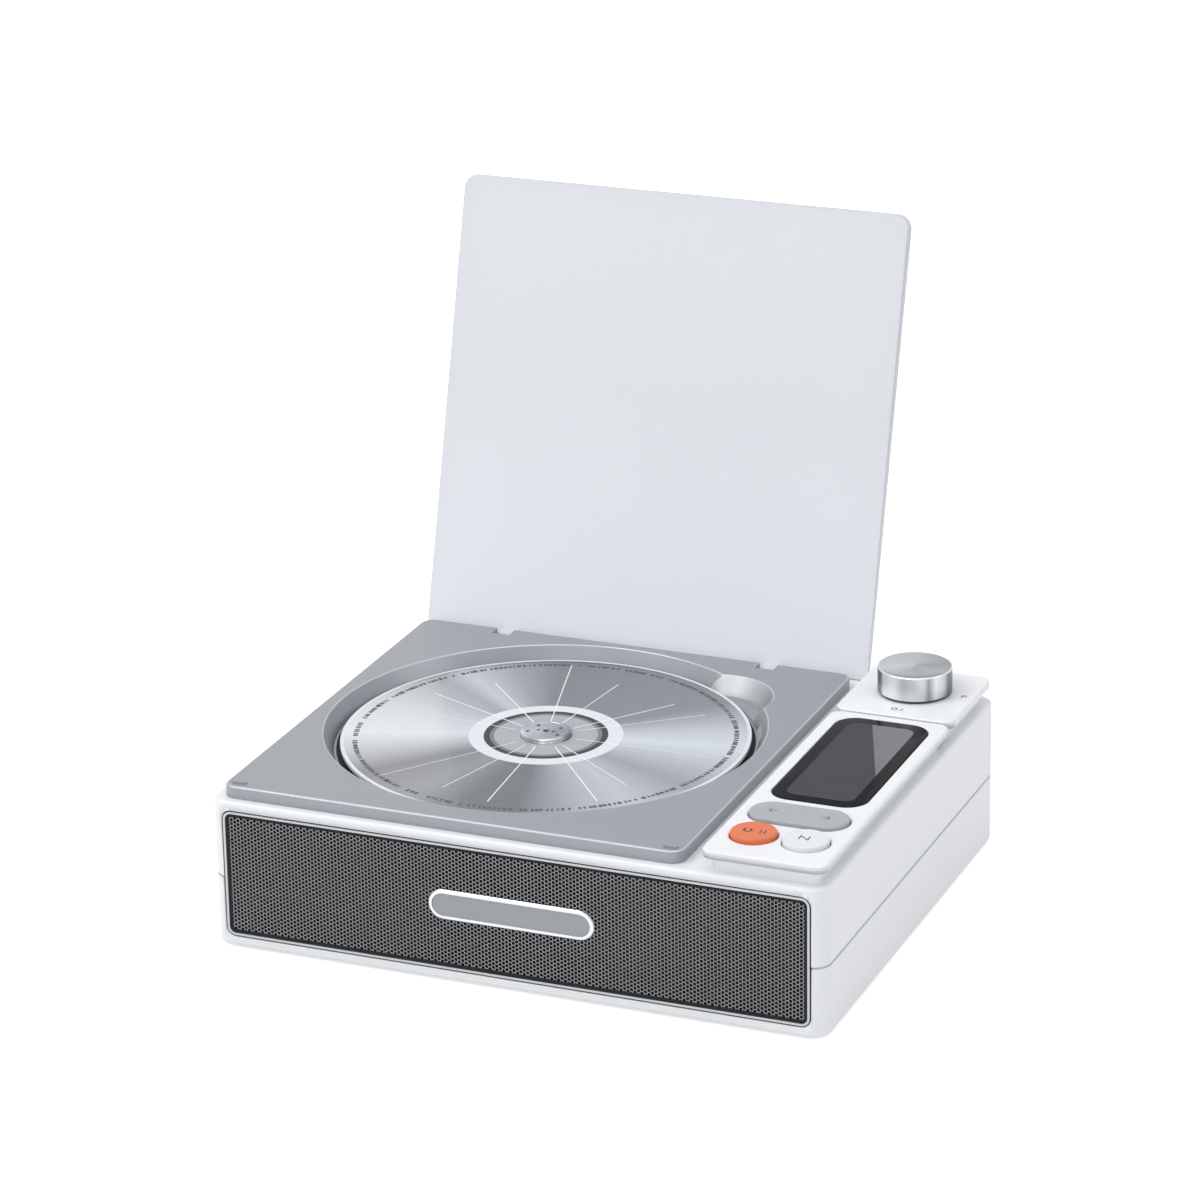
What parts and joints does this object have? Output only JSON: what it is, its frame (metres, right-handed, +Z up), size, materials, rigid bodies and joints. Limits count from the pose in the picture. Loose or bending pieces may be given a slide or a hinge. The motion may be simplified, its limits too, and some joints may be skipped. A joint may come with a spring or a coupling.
{
  "type": "compact disc player",
  "caption": "Compact disc player with a hinged lid open over a round disc well, a front speaker grille, and a raised column of display, buttons and knob.",
  "frame": {"origin": "middle of the case in plan, on the underside of the middle rubber foot", "axes": "+Z up through the disc; the speaker grille faces -Y and the lid's hinge lies towards +Y; +X to the right seen from the front"},
  "size_m": [0.1854, 0.1892, 0.1797],
  "materials": {
    "case_white": "fine matt white moulding",
    "lid_white": "matt pale grey moulding",
    "deck_grey": "satin grey moulding",
    "silver_metal": "brushed, clear anodised",
    "disc_metal": "metallised polycarbonate",
    "hub_plastic": "satin",
    "orange_plastic": "satin",
    "rocker_grey": "satin",
    "button_white": "satin",
    "dark_glass": "smoked window",
    "dark_plastic": "matt",
    "rubber": "matt",
    "steel": "plain",
    "board": "solder mask",
    "cell_wrap": "shrink sleeve"
  },
  "bodies": {
    "case": {"lower_case": "case_white", "upper_case": "case_white", "rubber_feet": "rubber", "case_screws": "steel", "grille_frame": "silver_metal", "speaker_grille": "silver_metal", "grille_badge": "silver_metal", "speaker_baskets": "steel", "speaker_cones": "dark_plastic", "speaker_magnets": "steel", "deck_plate": "deck_grey", "deck_bumpers": "rubber", "hinge_pins": "steel", "spindle_motor": "steel", "chassis_plate": "steel", "chassis_isolators": "rubber", "chassis_screws": "steel", "sled_rails": "steel", "rail_holders": "dark_plastic", "sled_motor": "steel", "main_board": "board", "board_chips": "dark_plastic", "board_screws": "steel", "battery_cells": "cell_wrap", "battery_cradle": "dark_plastic", "usb_port": "steel", "headphone_jack": "dark_plastic", "control_plate": "case_white", "knob_plate": "case_white", "control_board": "board", "panel_screws": "steel", "tact_switches": "dark_plastic", "display_window": "dark_glass", "display_module": "dark_plastic", "volume_encoder": "steel"},
    "lid": {"lid_panel": "lid_white"},
    "spindle": {"spindle_hub": "hub_plastic", "spindle_shaft": "steel"},
    "disc": {"disc": "disc_metal"},
    "sled": {"laser_sled": "dark_plastic", "laser_lens": "dark_glass"},
    "pinion": {"sled_pinion": "button_white"},
    "volume": {"volume_knob": "silver_metal", "volume_shaft": "steel"},
    "power": {"power_button": "orange_plastic"},
    "mode": {"mode_button": "button_white"},
    "rocker": {"track_rocker": "rocker_grey"}
  },
  "joints": [
    {"name": "lid_hinge", "type": "hinge", "parent": "case", "child": "lid", "pos_m": [0, 0.0685, 0.045], "axis": [1, 0, 0], "range_deg": [0, 105.76]},
    {"name": "spindle_spin", "type": "hinge", "parent": "case", "child": "spindle", "pos_m": [-0.0207, 0.00055, 0.0446], "axis": [0, 0, 1], "continuous": true},
    {"name": "disc_lift", "type": "slide", "parent": "spindle", "child": "disc", "axis": [0, 0, 1], "range_m": [0, 0.0035]},
    {"name": "sled_slide", "type": "slide", "parent": "case", "child": "sled", "axis": [1, 0, 0], "range_m": [0, 0.035]},
    {"name": "sled_pinion_turn", "type": "hinge", "parent": "case", "child": "pinion", "pos_m": [0.0339, -0.02695, 0.0276], "axis": [0, 0, 1], "range_deg": [-360, 0]},
    {"name": "volume_turn", "type": "hinge", "parent": "case", "child": "volume", "pos_m": [0.0742, 0.0546, 0.052], "axis": [0, 0, 1], "continuous": true},
    {"name": "power_press", "type": "slide", "parent": "case", "child": "power", "axis": [0, 0, -1], "range_m": [0, 0.0008], "stiffness_N_per_m": 600, "springref_m": -0.001},
    {"name": "mode_press", "type": "slide", "parent": "case", "child": "mode", "axis": [0, 0, -1], "range_m": [0, 0.0008], "stiffness_N_per_m": 600, "springref_m": -0.001},
    {"name": "track_rock", "type": "hinge", "parent": "case", "child": "rocker", "pos_m": [0.0742, -0.0444, 0.04795], "axis": [0, 1, 0], "range_deg": [-2, 2], "stiffness_Nm_per_rad": 0.3}
  ],
  "couplings": [
    {"joint": "sled_pinion_turn", "follows": "sled_slide", "rad_per_m": -178.57}
  ]
}
